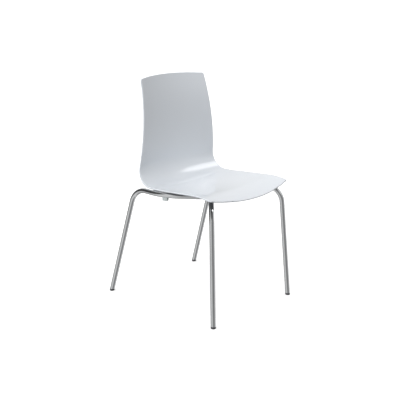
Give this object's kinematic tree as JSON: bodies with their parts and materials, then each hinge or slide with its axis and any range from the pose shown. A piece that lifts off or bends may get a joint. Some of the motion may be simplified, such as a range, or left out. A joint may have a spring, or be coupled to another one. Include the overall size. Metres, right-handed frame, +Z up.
{
  "type": "stacking chair",
  "caption": "Stacking chair: a one-piece moulded seat and back, dished and waisted, screwed to a chromed frame of two bent leg tubes that are welded back to back under the seat, with a bowed cross tube behind.",
  "frame": {"origin": "on the floor at the centre of the chair's footprint, midway between the front and rear feet and on the centre plane", "axes": "+Z up, -Y the way the sitter faces, +X the sitter's left"},
  "size_m": [0.4736, 0.5374, 0.825],
  "materials": {
    "shell": "gloss white moulded plastic with a slight cool tint",
    "tube": "polished chrome plate on steel",
    "glide": "dark grey moulded plastic",
    "stack_spacer": "milky translucent soft plastic",
    "pad": "natural moulded plastic",
    "insert": "machined brass",
    "fastener": "bright zinc plate",
    "pin": "natural moulded plastic"
  },
  "bodies": {
    "root": {"seat_shell": "shell", "front_leg_tube": "tube", "rear_leg_tube": "tube", "rear_cross_tube": "tube", "front_left_fixing_plate": "tube", "front_right_fixing_plate": "tube", "rear_left_fixing_plate": "tube", "rear_right_fixing_plate": "tube", "front_left_glide": "glide", "front_right_glide": "glide", "rear_left_glide": "glide", "rear_right_glide": "glide", "left_stack_spacer": "stack_spacer", "right_stack_spacer": "stack_spacer", "boss_pads": "pad", "threaded_inserts": "insert", "screw_washers": "fastener", "shell_screws": "fastener", "spacer_pins": "pin"}
  },
  "joints": []
}
